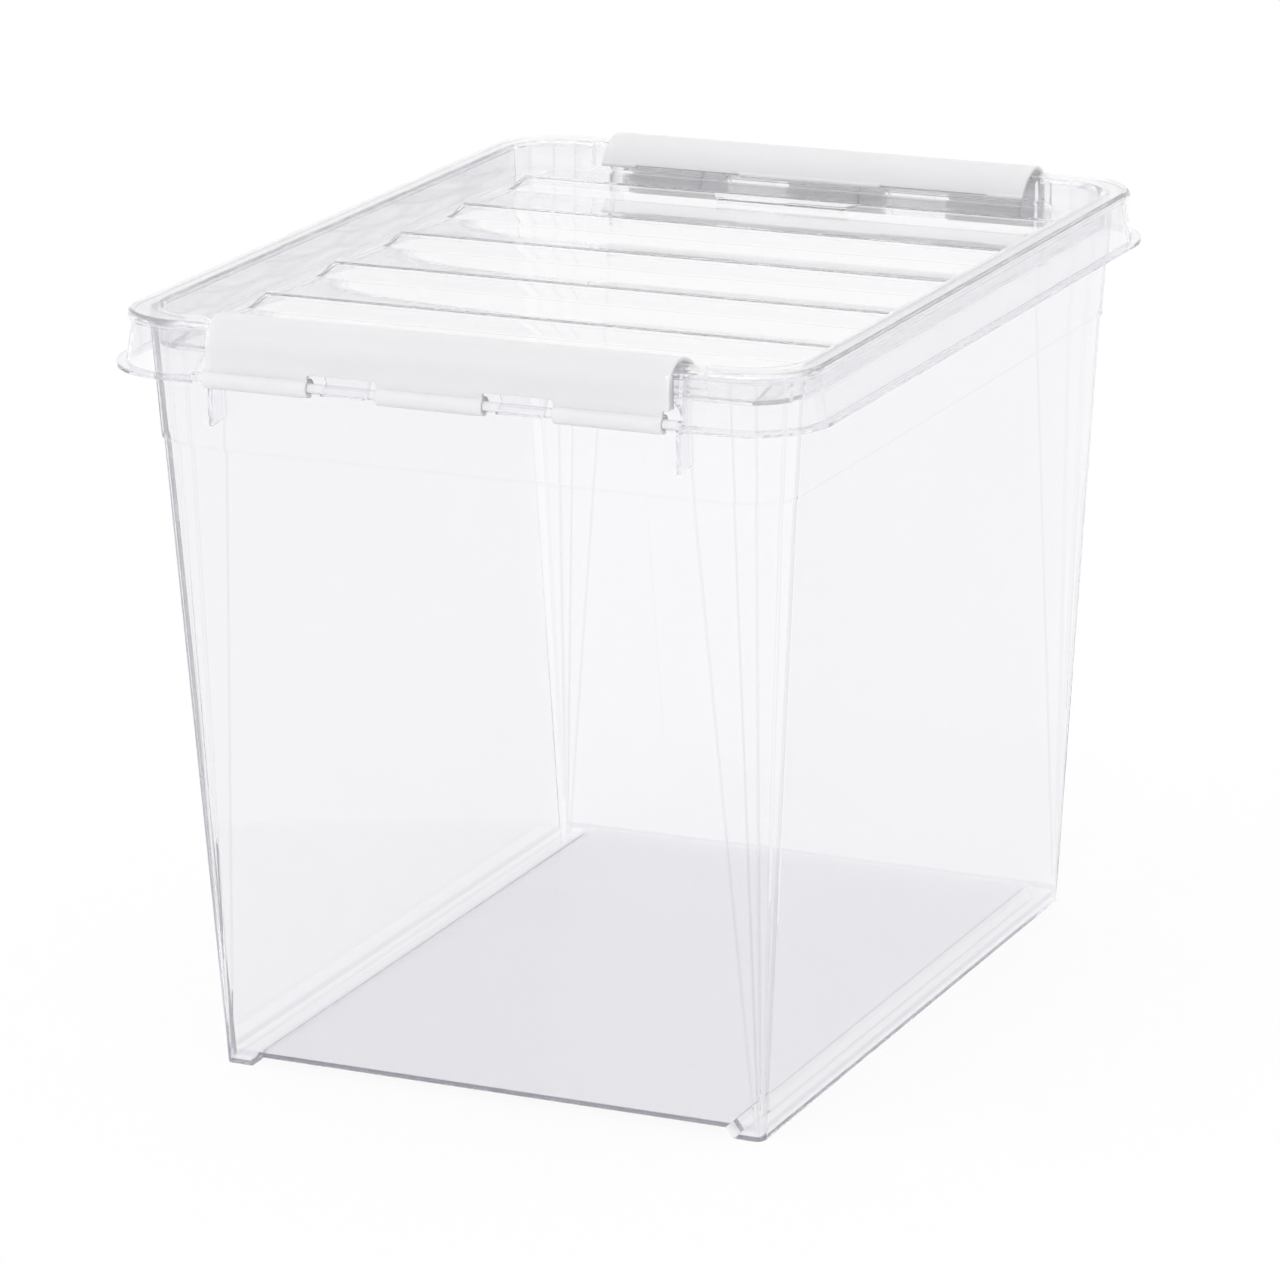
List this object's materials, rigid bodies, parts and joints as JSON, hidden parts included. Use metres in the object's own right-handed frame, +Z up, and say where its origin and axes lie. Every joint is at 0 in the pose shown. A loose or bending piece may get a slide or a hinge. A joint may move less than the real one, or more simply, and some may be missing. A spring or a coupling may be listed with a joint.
{
  "type": "clear storage box",
  "caption": "Clear plastic storage box with sloping walls, a flanged rim, a lid with waves pressed into its sunken top, and a hinged clip handle along each short side.",
  "frame": {"origin": "middle of the underside, on the surface that the box stands on", "axes": "+Z up, +Y along the length towards the rear clip, +X along the width"},
  "size_m": [0.3898, 0.505, 0.4098],
  "materials": {
    "tub_plastic": "clear and glossy, with a very pale cool tint at the edges",
    "lid_plastic": "clear and glossy, with a very pale cool tint at the edges",
    "clip_plastic": "milky white, lets some light through, satin gloss"
  },
  "bodies": {
    "tub": {"tub": "tub_plastic"},
    "lid": {"lid": "lid_plastic"},
    "front_clip": {"front_clip": "clip_plastic"},
    "rear_clip": {"rear_clip": "clip_plastic"}
  },
  "joints": [
    {"name": "lid_lift", "type": "slide", "parent": "tub", "child": "lid", "axis": [0, 0, 1], "range_m": [0, 0.0183]},
    {"name": "front_clip_hinge", "type": "hinge", "parent": "tub", "child": "front_clip", "pos_m": [0, -0.24754, 0.3792], "axis": [1, 0, 0], "range_deg": [0, 200]},
    {"name": "rear_clip_hinge", "type": "hinge", "parent": "tub", "child": "rear_clip", "pos_m": [0, 0.24754, 0.3792], "axis": [-1, 0, 0], "range_deg": [0, 200]}
  ],
  "couplings": [
    {"joint": "front_clip_hinge", "follows": "lid_lift", "rad_per_m": 190},
    {"joint": "rear_clip_hinge", "follows": "lid_lift", "rad_per_m": 190}
  ]
}
